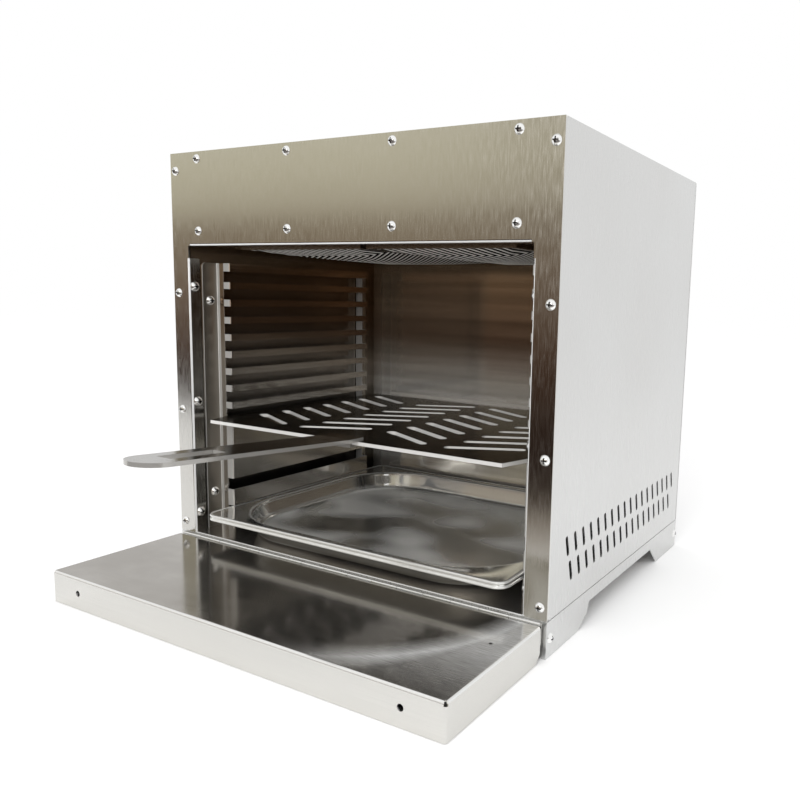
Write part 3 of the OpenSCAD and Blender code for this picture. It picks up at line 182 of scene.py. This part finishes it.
class Look:
    """A new material, with short ways to add nodes that work in the piece's own axes."""

    def __init__(self, name):
        self.material = bpy.data.materials.new(name)
        self.material.use_nodes = True
        self.nodes = self.material.node_tree.nodes
        self.links = self.material.node_tree.links
        self.shader = self.nodes["Principled BSDF"]

    def put(self, socket, value):
        """Gives a node's input a tone, a number or another node's result."""
        if isinstance(value, bpy.types.NodeSocket):
            self.links.new(value, socket)
        elif isinstance(value, tuple):
            socket.default_value = (*value, 1)
        else:
            socket.default_value = value

    def give(self, name, value):
        """Gives one of the shader's inputs a tone, a number or a node's result."""
        self.put(self.shader.inputs[name], value)

    def coordinate(self, kind, axis):
        """The surface's place (kind Object) or facing (kind Normal) along an axis."""
        source = self.nodes.new("ShaderNodeTexCoord")
        split = self.nodes.new("ShaderNodeSeparateXYZ")
        self.links.new(source.outputs[kind], split.inputs[0])
        return split.outputs[axis]

    def attribute(self, name):
        """A value that the mesh holds for each of its points."""
        source = self.nodes.new("ShaderNodeAttribute")
        source.attribute_name = name
        return source.outputs["Fac"]

    def calculate(self, operation, *values):
        """The result of a Math node."""
        node = self.nodes.new("ShaderNodeMath")
        node.operation = operation
        for socket, value in zip(node.inputs, values):
            self.links.new(value, socket)
        return node.outputs[0]

    def larger(self, first, second):
        """The larger of two values."""
        return self.calculate("MAXIMUM", first, second)

    def product(self, first, *others):
        """Values multiplied."""
        for other in others:
            first = self.calculate("MULTIPLY", first, other)
        return first

    def span(self, value, low, high, start=0.0, end=1.0):
        """Runs from low to high as a value runs from start to end."""
        reach = self.nodes.new("ShaderNodeMapRange")
        limits = {"From Min": start, "From Max": end, "To Min": low, "To Max": high}
        for name, limit in limits.items():
            reach.inputs[name].default_value = limit
        self.links.new(value, reach.inputs["Value"])
        return reach.outputs["Result"]

    def mix(self, factor, first, second, blend="MIX"):
        """Two colours, each a tone or a node's result, mixed by a factor."""
        node = self.nodes.new("ShaderNodeMix")
        node.data_type = "RGBA"
        node.blend_type = blend
        self.put(node.inputs["Factor"], factor)
        self.put(node.inputs["A"], first)
        self.put(node.inputs["B"], second)
        return node.outputs["Result"]

    def multiply(self, first, second):
        """Two colours multiplied."""
        return self.mix(1.0, first, second, "MULTIPLY")

    def noise(self, scale, detail=2.0):
        """Noise with a scale for each axis."""
        source = self.nodes.new("ShaderNodeTexCoord")
        stretch = self.nodes.new("ShaderNodeMapping")
        texture = self.nodes.new("ShaderNodeTexNoise")
        stretch.inputs["Scale"].default_value = scale
        texture.inputs["Scale"].default_value = 1.0
        texture.inputs["Detail"].default_value = detail
        self.links.new(source.outputs["Object"], stretch.inputs["Vector"])
        self.links.new(stretch.outputs["Vector"], texture.inputs["Vector"])
        return texture.outputs["Fac"]

    def axis_ramp(self, axis, tones):
        """A colour by place along an axis, from (metres, tone) pairs."""
        low, high = tones[0][0], tones[-1][0]
        ramp = self.nodes.new("ShaderNodeValToRGB")
        elements = ramp.color_ramp.elements
        while len(elements) < len(tones):
            elements.new(1.0)
        for element, (at, tone) in zip(elements, tones):
            element.position = (at - low) / (high - low)
            element.color = (*tone, 1)
        place = self.coordinate("Object", axis)
        self.links.new(self.span(place, 0.0, 1.0, low, high), ramp.inputs[0])
        return ramp.outputs[0]

    def bump(self, height, strength, distance):
        """Lets a height tilt the shader's normal."""
        rise = self.nodes.new("ShaderNodeBump")
        rise.inputs["Strength"].default_value = strength
        rise.inputs["Distance"].default_value = distance
        self.links.new(height, rise.inputs["Height"])
        self.give("Normal", rise.outputs["Normal"])

    def facing(self, axis, start, end):
        """0 to 1 as the facing along an axis, either way, goes from start to end; 1 is square on."""
        size = self.calculate("ABSOLUTE", self.coordinate("Normal", axis))
        return self.span(size, 0.0, 1.0, start, end)

    def fold_lines(self, axis):
        """1 on the rounded folds between faces that look along an axis and faces across it, else 0."""
        off_side = self.facing(axis, 0.1, 0.3)
        off_face = self.facing(axis, 0.98, 0.9)
        return self.product(off_side, off_face)


def add_object(name, data):
    """An object in the scene's collection."""
    added = bpy.data.objects.new(name, data)
    bpy.context.scene.collection.objects.link(added)
    return added


def mesh_object(name, points, faces, smooth=False):
    """A mesh object in the scene's collection."""
    mesh = bpy.data.meshes.new(name)
    mesh.from_pydata(points, [], faces)
    mesh.validate()
    mesh.polygons.foreach_set("use_smooth", [smooth] * len(mesh.polygons))
    return add_object(name, mesh)


def make_camera():
    """The camera at the photograph's viewpoint, with the shift that its framing needs."""
    data = bpy.data.cameras.new("camera")
    data.sensor_width = SENSOR_MM
    data.lens = FOCAL_PX / IMAGE * SENSOR_MM
    data.shift_x = 0.5 - PRINCIPAL_PX[0] / IMAGE
    data.shift_y = PRINCIPAL_PX[1] / IMAGE - 0.5
    data.clip_start = NEAREST
    camera = add_object("camera", data)
    forward = CAMERA_FORWARD.normalized()
    right = forward.cross(CAMERA_UP).normalized()
    up = right.cross(forward)
    turn = Matrix((right, up, -forward)).transposed().to_4x4()
    camera.matrix_world = Matrix.Translation(CAMERA_AT) @ turn
    bpy.context.scene.camera = camera


def toned_card(name, corners, axis, tones, fade=None):
    """A card that only reflections see, toned along one axis, and along X too where a fade is given."""
    card = mesh_object(name, corners, [tuple(range(len(corners)))])
    card.visible_camera = False
    card.visible_diffuse = False
    card.visible_shadow = False
    card.visible_transmission = False
    look = Look(name)
    colour = look.axis_ramp(axis, tones)
    if fade:
        colour = look.multiply(colour, look.axis_ramp("X", fade))
    glow = look.nodes.new("ShaderNodeEmission")
    look.links.new(colour, glow.inputs["Color"])
    look.links.new(glow.outputs[0], look.nodes["Material Output"].inputs["Surface"])
    card.data.materials.append(look.material)
    return card


def make_floor():
    """A white floor with no gloss, just under the feet."""
    far = FLOOR_REACH
    corners = [(-far, -far, 0), (far, -far, 0), (far, far, 0), (-far, far, 0)]
    floor = mesh_object("floor", corners, [(0, 1, 2, 3)])
    floor.location.z = -FLOOR_DROP
    look = Look("floor")
    look.give("Base Color", WHITE)
    look.give("Roughness", 0.9)
    look.give("Specular IOR Level", 0.0)
    floor.data.materials.append(look.material)
    return floor


def make_stage():
    """A white floor, two toned cards for the reflections, a soft lamp and a white world."""
    floor = make_floor()
    (left, right), y = CARD_X, CARD_Y
    stand = [(left, y, 0), (right, y, 0), (right, y, CARD_TOP), (left, y, CARD_TOP)]
    upright = toned_card("card", stand, "Z", CARD_TONES, CARD_FADE)
    mat = toned_card("mat", [(x, y, MAT_Z) for x, y in MAT_EDGE], "Y", MAT_TONES)

    lamp = bpy.data.lights.new("lamp", "AREA")
    lamp.size = LAMP_SIZE
    lamp.energy = LAMP_WATTS
    lamp_object = add_object("lamp", lamp)
    lamp_object.location = LAMP_AT
    lamp_object.rotation_euler = (LAMP_TO - LAMP_AT).to_track_quat("-Z", "Y").to_euler()

    world = bpy.data.worlds.new("studio")
    world.use_nodes = True
    sky = world.node_tree.nodes["Background"]
    sky.inputs["Color"].default_value = (*WHITE, 1)
    sky.inputs["Strength"].default_value = 1.0
    bpy.context.scene.world = world
    bpy.context.scene.view_settings.view_transform = "Standard"


def brushed(name, grain, axis, rough, aniso):
    """The look of brushed sheet without its colour, its strokes, and a roughness that follows them.

    grain is the noise scale of the strokes, and axis the one that the highlights turn about.
    """
    look = Look(name)
    strokes = look.noise(grain, detail=3.0)
    gloss = look.span(strokes, *rough, *NOISE_SPAN)
    tangent = look.nodes.new("ShaderNodeTangent")
    tangent.direction_type = "RADIAL"
    tangent.axis = axis
    look.give("Tangent", tangent.outputs["Tangent"])
    look.give("Anisotropic", aniso)
    look.bump(strokes, strength=0.02, distance=0.5 * MM)
    return look, strokes, gloss


def brushed_steel(name, tone, grain, axis, rough, aniso=0.6, shade=0.9, metal=1.0, heat_and_shade=None,
                  streaks=None, plane=None, folds=None, edge=PALE, edge_metal=0.5, glance=1.0):
    """Brushed sheet steel.

    heat_and_shade is a list of tones by height for steel near a flame, with painted shade in it, and
    streaks a second, broader grain.
    plane is the axis that the sheet's own faces look along: its cut edges and folds have the edge tone,
    a painted highlight, and are less of a mirror. folds is that axis on a sheet where this holds for its
    rounded folds alone.
    glance dims the shine at a low angle.
    """
    look, strokes, gloss = brushed(name, grain, axis, rough, aniso)
    darker = tuple(c * shade for c in tone)
    colour = look.mix(strokes, darker, tone)
    colour = look.multiply(colour, look.mix(look.noise(CLOUDS), (0.92, 0.91, 0.9), WHITE))
    if heat_and_shade:
        colour = look.multiply(colour, look.axis_ramp("Z", heat_and_shade))
    if streaks:
        bands = look.span(look.noise(streaks, detail=1.0), 0.0, 1.0, *NOISE_SPAN)
        colour = look.multiply(colour, look.mix(bands, (0.55, 0.53, 0.5), WHITE))
    # A pale edge tone with less metal on cut edges and folds: a painted highlight
    if plane or folds:
        painted_highlight = look.facing(plane, *EDGE) if plane else look.fold_lines(folds)
        colour = look.mix(painted_highlight, colour, edge)
        metal = look.span(painted_highlight, metal, edge_metal)
    look.give("Base Color", colour)
    look.give("Metallic", metal)
    look.give("Roughness", gloss)
    look.give("Specular Tint", (glance, glance, glance))
    return look.material


def rack_steel(name):
    """Rack steel, browned above, with a darker, rougher flange, and painted highlights on its bends,
    rear flank and tabs.
    """
    look, strokes, gloss = brushed(name, ALONG_Y, "Y", rough=(0.09, 0.15), aniso=0.6)
    outward = look.calculate("ABSOLUTE", look.coordinate("Object", "X"))
    tabs = look.span(outward, 1.0, 0.0, *TAB_X)
    bend = look.span(outward, 0.0, 1.0, *BEND_X)
    flange = look.span(outward, 0.0, 1.0, *FLANGE_X)
    rear = look.span(look.coordinate("Object", "Y"), 0.0, 1.0, *REAR_Y)
    zones = look.larger(look.larger(tabs, rear), bend)
    # The tabs, the flange's bend and the rear flank take a pale tone and less metal: a painted highlight
    painted_highlight = look.product(zones, look.facing("X", *EDGE))
    colour = look.mix(strokes, (0.58, 0.555, 0.52), INNER)
    colour = look.multiply(colour, look.axis_ramp("Z", RACK_HEAT))
    colour = look.mix(flange, colour, (0.30, 0.28, 0.25))
    look.give("Base Color", look.mix(painted_highlight, colour, (0.5, 0.49, 0.47)))
    look.give("Metallic", look.span(painted_highlight, 0.99, 0.5))
    look.give("Roughness", look.larger(gloss, look.span(flange, 0.0, 0.4)))
    return look.material


def arc_highlight(look):
    """1 on the painted highlight arc over the right end of the shelf's upper face, and on the corner
    outside it.
    """
    source = look.nodes.new("ShaderNodeTexCoord")
    away = look.nodes.new("ShaderNodeVectorMath")
    away.operation = "DISTANCE"
    away.inputs[1].default_value = ARC_CENTRE
    look.links.new(source.outputs["Object"], away.inputs[0])
    reach = away.outputs["Value"]
    inner = look.span(reach, 0.0, 1.0, ARC_RADIUS - ARC_WIDTH, ARC_RADIUS)
    outer = look.span(reach, 1.0, 0.0, ARC_RADIUS, ARC_RADIUS + ARC_WIDTH)
    corner = look.product(inner, look.span(look.coordinate("Object", "Y"), 0.0, 0.8, *CORNER_Y))
    highlight_band = look.larger(look.product(inner, outer), corner)
    right_end = look.span(look.coordinate("Object", "X"), 0.0, 1.0, *ARC_X)
    scratches = look.span(look.noise((70, 2200, 1)), 0.6, 1.0, *NOISE_SPAN)
    upper = look.span(look.coordinate("Normal", "Z"), 0.0, 1.0, *FLAT_ON)
    return look.product(highlight_band, right_end, scratches, upper)


def shelf_steel(name):
    """The shelf's sheet: painted highlights on its folds and in an arc over one end, and painted shade
    on its top face, which also has smudges.
    """
    look, strokes, gloss = brushed(name, ALONG_X, "X", rough=(0.08, 0.16), aniso=0.5)
    # The upper face is painted darker than the other faces as painted shade; the smudges in it are real
    smudges = look.span(look.noise((16, 22, 16), detail=4.0), 0.0, 1.0, 0.35, 0.65)
    smudged_shaded_top = look.mix(smudges, (0.32, 0.30, 0.27), (0.40, 0.38, 0.35))
    colour = look.mix(look.facing("Z", *FLAT_ON), STEEL, smudged_shaded_top)
    colour = look.multiply(colour, look.mix(strokes, (0.86, 0.86, 0.86), WHITE))
    # The folds and the arc take a pale tone and less metal: a painted highlight
    folds = look.span(look.fold_lines("Z"), 0.0, 0.7)
    pale = look.larger(arc_highlight(look), folds)
    look.give("Base Color", look.mix(pale, colour, PALE))
    look.give("Metallic", look.span(pale, 0.94, 0.2))
    look.give("Roughness", gloss)
    return look.material


def screw_steel(name):
    """Bright screw heads, with painted shade that darkens their recesses."""
    look = Look(name)
    # Ambient occlusion darkens the recesses: painted shade
    hollow = look.nodes.new("ShaderNodeAmbientOcclusion")
    hollow.only_local = True
    hollow.inputs["Distance"].default_value = 2.5 * MM
    depth = look.span(hollow.outputs["AO"], 0.0, 1.0, 0.55, 0.9)
    look.give("Base Color", look.mix(depth, (0.02, 0.02, 0.02), (0.86, 0.86, 0.85)))
    look.give("Roughness", look.span(look.noise(SPECKLE, detail=3.0), 0.06, 0.16))
    look.give("Metallic", 0.9)
    return look.material


def pan_steel(name, floor_z):
    """Polished pan steel: painted highlights on its bends and beads, painted light on its inner ends, a
    rougher floor with pale clouds painted on it as reflections, and a rough outside darkened as painted
    shade.
    """
    look = Look(name)
    shine = look.attribute("shine")
    inside = look.span(shine, 0.0, 1.0, OUTSIDE_SHINE, WALL_SHINE)
    height = look.coordinate("Object", "Z")
    low = look.span(height, 1.0, 0.0, floor_z + 0.5 * MM, floor_z + 2.5 * MM)
    clouds = look.span(look.noise((12, 17, 1), detail=0.5), 0.0, 1.0, 0.42, 0.62)
    colour = look.mix(look.noise(PAN_SPECKLE, detail=3.0), (0.7, 0.7, 0.68), (0.8, 0.8, 0.78))
    # The outside is darkened: painted shade under the rim
    colour = look.multiply(colour, look.mix(inside, (0.45, 0.44, 0.42), WHITE))
    # Pale patches with less metal: clouds on the floor are a painted reflection, the bends and beads a
    # painted highlight, and the inner faces that look along Y painted light
    painted_floor_reflection = look.product(low, clouds)
    bends = look.span(shine, 0.0, 0.6)
    ends = look.product(inside, look.span(look.facing("Y", *FLAT_ON), 0.0, 0.4))
    painted_pan_light = look.larger(look.larger(painted_floor_reflection, bends), ends)
    look.give("Base Color", colour)
    look.give("Metallic", look.span(painted_pan_light, 0.96, 0.2))
    look.give("Roughness", look.larger(look.span(inside, 0.4, 0.07), look.span(low, 0.07, 0.24)))
    return look.material


def plain_metal(name, tone, rough):
    """Turned or pressed metal with a fine speckle in its tone and gloss."""
    look = Look(name)
    grain = look.noise(SPECKLE, detail=3.0)
    darker = tuple(c * 0.86 for c in tone)
    look.give("Base Color", look.mix(grain, darker, tone))
    look.give("Roughness", look.span(grain, *rough))
    look.give("Metallic", 1.0)
    return look.material


def moulded(name, tone, rough=(0.4, 0.6), bump=0.15):
    """Moulded plastic or rubber with a fine pebble."""
    look = Look(name)
    grain = look.noise(PEBBLE)
    lighter = tuple(min(1, c * 1.3 + 0.004) for c in tone)
    look.give("Base Color", look.mix(grain, tone, lighter))
    look.give("Roughness", look.span(grain, *rough))
    look.bump(grain, strength=bump, distance=0.2 * MM)
    return look.material


def ceramic(name):
    """Burner ceramic, pale on its ridges, with rows of fine ports; painted shade makes it near black in
    its grooves and darker in its ports.
    """
    look = Look(name)
    source = look.nodes.new("ShaderNodeTexCoord")
    ports = look.nodes.new("ShaderNodeTexVoronoi")
    ports.inputs["Scale"].default_value = 620.0
    ports.inputs["Randomness"].default_value = 0.2
    look.links.new(source.outputs["Object"], ports.inputs["Vector"])
    mouth = look.span(ports.outputs["Distance"], 0.0, 1.0, 0.15, 0.35)
    # Near black in the grooves and darker in the ports: painted shade
    crest = look.mix(look.attribute("ridge"), (0.006, 0.005, 0.004), (0.95, 0.92, 0.87))
    port_shade = look.mix(mouth, (0.6, 0.58, 0.55), WHITE)
    look.give("Base Color", look.multiply(crest, port_shade))
    look.give("Roughness", look.span(mouth, 0.9, 0.5))
    look.give("Specular IOR Level", 0.0)
    look.bump(mouth, strength=0.4, distance=0.6 * MM)
    return look.material


def ring(box, inset, radius, z, per_corner=14):
    """A rounded rectangle of points inside a box, the same number for every radius."""
    (x0, y0), (x1, y1) = box
    centres = [
        (x1 - inset - radius, y1 - inset - radius, 0),
        (x0 + inset + radius, y1 - inset - radius, 90),
        (x0 + inset + radius, y0 + inset + radius, 180),
        (x1 - inset - radius, y0 + inset + radius, 270),
    ]
    points = []
    for cx, cy, start in centres:
        for step in range(per_corner + 1):
            turn = math.radians(start + 90 * step / per_corner)
            points.append((cx + radius * math.cos(turn), cy + radius * math.sin(turn), z))
    return points


def loft(name, rings):
    """A closed smooth mesh through rings of equal length, capped at both ends."""
    count = len(rings[0])
    points = [point for one in rings for point in one]
    last = (len(rings) - 1) * count
    faces = [tuple(range(count))[::-1], tuple(range(last, last + count))]
    for i in range(len(rings) - 1):
        for j in range(count):
            k = (j + 1) % count
            faces.append((i * count + j, i * count + k, (i + 1) * count + k, (i + 1) * count + j))
    return mesh_object(name, points, faces, smooth=True)


def arc(centre, radius, first, last, steps):
    """Points (inset, height) on an arc, with angles in degrees from the inward direction."""
    turns = [math.radians(first + (last - first) * i / steps) for i in range(steps + 1)]
    return [(centre[0] + radius * math.cos(t), centre[1] + radius * math.sin(t)) for t in turns]


def pan_section(top, foot, rim):
    """The pan's section in millimetres, from the middle of its floor over the rim to its underside.

    Each stretch has its points (inset, height), whether it follows the rim's corners, and its shine.
    """
    bead, rim_h, ledge = 1.05, 5.8, 4.5
    floor_r, mouth_r = 5, 2.4
    middle = rim + 70
    floor = foot + PAN_SHEET
    flat = top - 0.5
    under = flat - PAN_SHEET
    low_bead = top - rim_h + bead
    floor_bend = (rim + 9, floor + floor_r)
    mouth_bend = (rim - 2, flat - mouth_r)
    wall = [(rim + 3.6, floor + 6.5), (rim + 0.6, flat - 3.6)]
    rim_back = [(2 * bead, low_bead), (2 * bead, under - 0.4), (ledge, under)]
    outer_wall = [(rim - 2.6, under), (rim - 0.4, under - 1.5), (rim + 3.2, floor + 4)]
    underside = [(rim + 5, foot + 1.4), (rim + 8, foot), (middle, foot)]
    return [
        ([(middle, floor), (rim + 40, floor), (rim + 12, floor)], False, WALL_SHINE),
        (arc(floor_bend, floor_r, 270, 235, 3), False, WALL_SHINE),
        (arc(floor_bend, floor_r, 222, 190, 3), False, FLOOR_SHINE),
        (wall, False, WALL_SHINE),
        (arc(mouth_bend, mouth_r, 0, 40, 3), False, WALL_SHINE),
        (arc(mouth_bend, mouth_r, 55, 90, 3), False, MOUTH_SHINE),
        ([(rim - 3.6, flat)], False, WALL_SHINE),
        ([(ledge, flat)], True, WALL_SHINE),
        (arc((bead, top - bead), bead, 60, 250, 10), True, BEAD_SHINE),
        ([(1.8 * bead, top - rim_h / 2)], True, WALL_SHINE),
        (arc((bead, low_bead), bead, 110, 300, 10), True, BEAD_SHINE),
        (rim_back, True, OUTSIDE_SHINE),
        (outer_wall, False, OUTSIDE_SHINE),
        (underside, False, OUTSIDE_SHINE),
    ]


def make_pan():
    """The drawn pan: floor, upright walls, a flat rim and a double bead round its edge."""
    low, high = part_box("drip_pan")
    plan = ((low[0] / MM, low[1] / MM), (high[0] / MM, high[1] / MM))
    top, foot = high[2] / MM, low[2] / MM
    rim, rim_r, well_r, least_r = 10.0, 12.0, 70.0, 12
    rings, shines = [], []
    for points, on_rim, shine in pan_section(top, foot, rim):
        for inset, z in points:
            radius = rim_r - inset if on_rim else max(least_r, well_r + rim - inset)
            one = ring(plan, inset, radius, z)
            rings.append([tuple(c * MM for c in point) for point in one])
            shines += [shine] * len(one)
    pan = loft("polished_pan", rings)
    pan.data.attributes.new("shine", "FLOAT", "POINT").data.foreach_set("value", shines)
    pan.data.materials.append(pan_steel("pan_steel", (foot + PAN_SHEET) * MM))
    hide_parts("drip_pan")
    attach(pan, "pan")


def tile_face(low, high):
    """A bowed face ribbed in chevrons: its points, their crests (1 on a rib), its columns and rows.

    low and high are the tile's corners in millimetres.
    """
    lip, bow, step = 5.0, 6.0, 0.8
    # The ribs run straight for turn_y from the front, and slant behind it; they fade out near the edges
    pitch, depth, sharpness = 8.0, 0.6, 5
    turn_y, slant = 38.0, 1.2
    fade_x, fade_y = 10, 16
    x0, x1 = low[0] + lip, high[0] - lip
    y0, y1 = low[1] + lip, high[1] - lip
    middle_x, middle_y = (x0 + x1) / 2, (y0 + y1) / 2
    base_z = low[2] + bow
    columns, rows = int((x1 - x0) / step), int((y1 - y0) / step)
    points, crests = [], []
    for row in range(rows + 1):
        for column in range(columns + 1):
            x = x0 + (x1 - x0) * column / columns
            y = y0 + (y1 - y0) * row / rows
            u = 2 * (x - middle_x) / (x1 - x0)
            v = 2 * (y - middle_y) / (y1 - y0)
            drop = bow * min(1 - u * u, 1 - v * v)
            along = x + slant * max(0, y - y0 - turn_y)
            crest = (0.5 + 0.5 * math.cos(2 * math.pi * along / pitch)) ** sharpness
            border = min(1, (1 - abs(u)) * fade_x, (1 - abs(v)) * fade_y)
            points.append((x * MM, y * MM, (base_z - drop + depth * (1 - crest) * border) * MM))
            crests.append(crest)
    return points, crests, columns, rows


def make_tile(node, material):
    """A burner tile: its ribbed face, and plain sides up to a flat back halfway through the slab."""
    low, high = (tuple(c / MM for c in corner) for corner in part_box(node))
    slab = 13.0
    back_z = (high[2] - slab / 2) * MM
    side_crest = 0.5
    points, crests, columns, rows = tile_face(low, high)
    wide = columns + 1
    faces = []
    for row in range(rows):
        for column in range(columns):
            a = row * wide + column
            faces.append((a, a + wide, a + wide + 1, a + 1))
    rim = list(range(wide))
    rim += [row * wide + columns for row in range(1, rows + 1)]
    rim += [rows * wide + column for column in range(columns - 1, -1, -1)]
    rim += [row * wide for row in range(rows - 1, 0, -1)]
    start, count = len(points), len(rim)
    points += [(*points[index][:2], back_z) for index in rim]
    crests += [side_crest] * count
    for i in range(count):
        j = (i + 1) % count
        faces.append((rim[i], rim[j], start + j, start + i))
    faces.append(tuple(range(start, start + count))[::-1])
    tile = mesh_object("ribbed_" + node, points, faces, smooth=True)
    tile.data.attributes.new("ridge", "FLOAT", "POINT").data.foreach_set("value", crests)
    tile.data.materials.append(material)
    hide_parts(node)
    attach(tile, "casing")


def soften(names, width):
    """Rounds the edges of CAD nodes a little, so that bends and cut edges catch the light."""
    for name in names:
        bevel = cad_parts[name].modifiers.new("soft_edges", "BEVEL")
        bevel.width = width
        bevel.segments = SOFT_SEGMENTS
        bevel.limit_method = "ANGLE"
        bevel.angle_limit = math.radians(SOFT_ANGLE)


def casing_steels():
    """The materials of the casing's sheets, with the CAD nodes that take them."""
    # The front's folds and the deck's cut edges take the pale edge tone as a painted highlight
    front = brushed_steel("front_steel", STEEL, COARSE_UP, "Z", rough=(0.12, 0.24), shade=0.8,
                          folds="Y", edge_metal=0.3)
    panel = brushed_steel("panel_steel", PALE, UPRIGHT, "Z", rough=(0.24, 0.36))
    lid = brushed_steel("top_steel", PALE, ALONG_X, "X", rough=(0.24, 0.36))
    wall = brushed_steel("wall_steel", (0.95, 0.93, 0.89), LONG_X, "X", rough=(0.1, 0.15), aniso=0.7,
                         metal=0.75, heat_and_shade=WALL_HEAT_AND_SHADE, streaks=(3, 10, 90))
    side_wall = brushed_steel("side_wall_steel", INNER, LONG_Y, "Y", rough=(0.16, 0.2), aniso=0.8,
                              shade=0.94, metal=0.9, heat_and_shade=SLOT_HEAT_AND_SHADE, streaks=(10, 1.5, 55))
    deck = brushed_steel("deck_steel", INNER, ALONG_X, "X", rough=(0.12, 0.2), metal=0.95,
                         plane="Z", edge_metal=0.3)
    return {
        front: ["front_panel"],
        panel: ["left_panel", "right_panel", "back_panel", "base"],
        lid: ["top_panel"],
        wall: ["back_liner", "burner_carrier"],
        side_wall: ["left_liner", "right_liner"],
        deck: ["floor_panel"],
    }


def fitting_steels():
    """The materials of the racks, shelf, grate, lifter and screws, with the CAD nodes that take them."""
    # The grate's and the lifter's edge tones are painted highlights on their cut edges
    grate = brushed_steel("grate_steel", (0.32, 0.305, 0.275), ALONG_X, "X", rough=(0.14, 0.24),
                          plane="Z", edge=(0.66, 0.65, 0.63), edge_metal=0.3, glance=0.4)
    lifter = brushed_steel("lifter_steel", (0.30, 0.29, 0.27), ALONG_Y, "Y", rough=(0.12, 0.22),
                           plane="Z", edge=(0.36, 0.35, 0.33))
    screws = [place + "_screws" for place in ("header", "column", "return", "rack", "base", "back")]
    return {
        rack_steel("rack_steel"): ["left_rack", "right_rack"],
        shelf_steel("shelf_steel"): ["shelf", "hinge_rail_leaf", "hinge_shelf_leaf", "hinge_pin"],
        grate: ["grate"],
        lifter: ["lifter"],
        screw_steel("screw_steel"): ["drip_pan", *screws],
    }


def burner_materials(tile):
    """The materials of the burners, gas train and controls, with the CAD nodes that take them."""
    burner = plain_metal("burner_steel", (0.4, 0.38, 0.35), rough=(0.2, 0.3))
    brass = plain_metal("brass", (0.72, 0.56, 0.28), rough=(0.2, 0.36))
    black = moulded("black_plastic", (0.035, 0.035, 0.038))
    red = moulded("red_plastic", (0.5, 0.035, 0.03), rough=(0.2, 0.3), bump=0.03)
    lead = moulded("lead_rubber", (0.35, 0.05, 0.04))
    return {
        burner: ["left_burner_housing", "right_burner_housing", "left_mixing_tube", "right_mixing_tube"],
        tile: ["left_burner_tile", "right_burner_tile", "electrode"],
        brass: ["gas_manifold", "injectors", "gas_valve", "gas_inlet", "inlet_locknut", "valve_spindle"],
        black: ["igniter_body", "igniter_nut", "control_knob"],
        red: ["igniter_button"],
        lead: ["ignition_lead"],
    }


def dress():
    """Gives every CAD node its material, and builds the pieces that stand for some of them."""
    tile = ceramic("ceramic")
    looks = {**casing_steels(), **fitting_steels(), **burner_materials(tile)}
    for material, names in looks.items():
        for name in names:
            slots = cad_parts[name].data.materials
            slots.clear()
            slots.append(material)
    dressed = {name for names in looks.values() for name in names}
    assert dressed == set(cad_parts), set(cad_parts) - dressed
    for width, names in SOFT_EDGES:
        soften(names, width * MM)
    make_pan()
    make_tile("left_burner_tile", tile)
    make_tile("right_burner_tile", tile)


make_camera()
make_stage()
dress()
